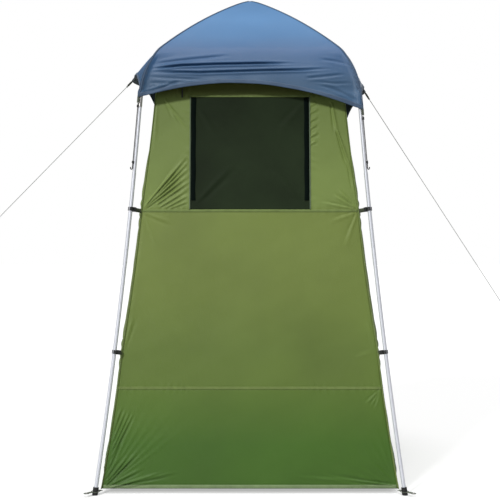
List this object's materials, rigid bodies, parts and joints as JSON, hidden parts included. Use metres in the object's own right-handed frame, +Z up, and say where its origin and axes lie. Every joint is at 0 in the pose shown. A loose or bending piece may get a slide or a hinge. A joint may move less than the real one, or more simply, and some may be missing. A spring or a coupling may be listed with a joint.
{
  "type": "privacy shower tent",
  "caption": "Tall free-standing privacy tent with leaning tube legs, a domed fly with arched edges, a hanging cabin with a mesh window and a zipped door.",
  "frame": {"origin": "on the ground under the middle of the tent", "axes": "+Z up, the window side faces -Y, the door side faces +Y, +X is the viewer's right when facing the window"},
  "size_m": [2.5583, 1.3844, 2.2444],
  "materials": {
    "leg_tube": "satin silver coat",
    "roof_pole": "pultruded glass fibre",
    "black_plastic": "moulded, fine grain",
    "black_rubber": "matt",
    "fly_fabric": "coated ripstop, soft sheen",
    "cabin_fabric": "coated taffeta, soft sheen",
    "window_mesh": "fine net",
    "webbing": "woven tape",
    "zip_tape": "woven tape with coil",
    "piping": "folded binding",
    "elastic_cord": "braided cover",
    "guy_rope": "braided",
    "plated_steel": "nickel plate"
  },
  "bodies": {
    "frame": {"apex_hub": "black_plastic", "cabin_ceiling": "window_mesh", "clip_straps": "webbing", "corner_sleeves": "fly_fabric", "corner_tabs": "webbing", "door_zip_tape": "zip_tape", "fly": "fly_fabric", "foot_caps": "black_rubber", "foot_straps": "webbing", "front_header_panel": "cabin_fabric", "front_left_panel": "cabin_fabric", "front_middle_panel": "cabin_fabric", "front_right_panel": "cabin_fabric", "front_skirt_panel": "cabin_fabric", "guy_ring_left": "plated_steel", "guy_ring_right": "plated_steel", "guy_rope_left": "guy_rope", "guy_rope_right": "guy_rope", "guy_tabs": "webbing", "hanging_strap": "webbing", "left_wall": "cabin_fabric", "lower_leg_front_left": "leg_tube", "lower_leg_front_right": "leg_tube", "lower_leg_rear_left": "leg_tube", "lower_leg_rear_right": "leg_tube", "peg_eyelets": "plated_steel", "pole_clips": "black_plastic", "rear_header_panel": "cabin_fabric", "rear_left_panel": "cabin_fabric", "rear_right_panel": "cabin_fabric", "reducers": "black_plastic", "right_wall": "cabin_fabric", "roof_pole_front_left": "roof_pole", "roof_pole_front_right": "roof_pole", "roof_pole_rear_left": "roof_pole", "roof_pole_rear_right": "roof_pole", "upper_leg_front_left": "leg_tube", "upper_leg_front_right": "leg_tube", "upper_leg_rear_left": "leg_tube", "upper_leg_rear_right": "leg_tube", "window_mesh": "window_mesh", "window_piping": "piping", "window_tapes": "zip_tape", "window_toggle": "black_plastic"},
    "corner_hook_front_left": {"corner_hook_front_left": "black_plastic", "elastic_cord_front_left": "elastic_cord"},
    "corner_hook_front_right": {"corner_hook_front_right": "black_plastic", "elastic_cord_front_right": "elastic_cord"},
    "corner_hook_rear_left": {"corner_hook_rear_left": "black_plastic", "elastic_cord_rear_left": "elastic_cord"},
    "corner_hook_rear_right": {"corner_hook_rear_right": "black_plastic", "elastic_cord_rear_right": "elastic_cord"},
    "door": {"door_panel": "cabin_fabric"},
    "guy_runner_left": {"guy_runner_left": "black_plastic"},
    "guy_runner_right": {"guy_runner_right": "black_plastic"},
    "hanging_ring": {"hanging_ring": "plated_steel"},
    "privacy_flap": {"privacy_flap": "cabin_fabric"},
    "zip_pull": {"zip_pull": "black_plastic"},
    "zip_slider": {"zip_slider": "plated_steel"}
  },
  "joints": [
    {"name": "door_swing", "type": "hinge", "parent": "frame", "child": "door", "pos_m": [-0.28, 0.53085, 0.79], "axis": [0, -0.1188, 0.9929], "range_deg": [0, 120]},
    {"name": "zip_travel", "type": "slide", "parent": "frame", "child": "zip_slider", "axis": [0, -0.1188, 0.9929], "range_m": [0, 1.46]},
    {"name": "pull_swing", "type": "hinge", "parent": "zip_slider", "child": "zip_pull", "pos_m": [0.29, 0.62241, 0.09144], "axis": [1, 0, 0], "range_deg": [0, 150]},
    {"name": "flap_swing", "type": "hinge", "parent": "frame", "child": "privacy_flap", "pos_m": [0, -0.41462, 1.69746], "axis": [1, 0, 0], "range_deg": [0, 100]},
    {"name": "ring_swing", "type": "hinge", "parent": "frame", "child": "hanging_ring", "pos_m": [0, 0, 2.09252], "axis": [1, 0, 0], "range_deg": [-60, 60]},
    {"name": "left_runner_slide", "type": "slide", "parent": "frame", "child": "guy_runner_left", "axis": [0.6997, 0, 0.7145], "range_m": [0, 0.5]},
    {"name": "right_runner_slide", "type": "slide", "parent": "frame", "child": "guy_runner_right", "axis": [-0.5446, 0, 0.8387], "range_m": [0, 0.5]},
    {"name": "front_left_hook_swing", "type": "hinge", "parent": "frame", "child": "corner_hook_front_left", "pos_m": [-0.4884, -0.4884, 1.66778], "axis": [-0.7071, 0.7071, 0], "range_deg": [0, 75]},
    {"name": "front_right_hook_swing", "type": "hinge", "parent": "frame", "child": "corner_hook_front_right", "pos_m": [0.49244, -0.49244, 1.61281], "axis": [-0.7071, -0.7071, 0], "range_deg": [0, 75]},
    {"name": "rear_left_hook_swing", "type": "hinge", "parent": "frame", "child": "corner_hook_rear_left", "pos_m": [-0.4884, 0.4884, 1.66778], "axis": [0.7071, 0.7071, 0], "range_deg": [0, 75]},
    {"name": "rear_right_hook_swing", "type": "hinge", "parent": "frame", "child": "corner_hook_rear_right", "pos_m": [0.49244, 0.49244, 1.61281], "axis": [0.7071, -0.7071, 0], "range_deg": [0, 75]}
  ]
}
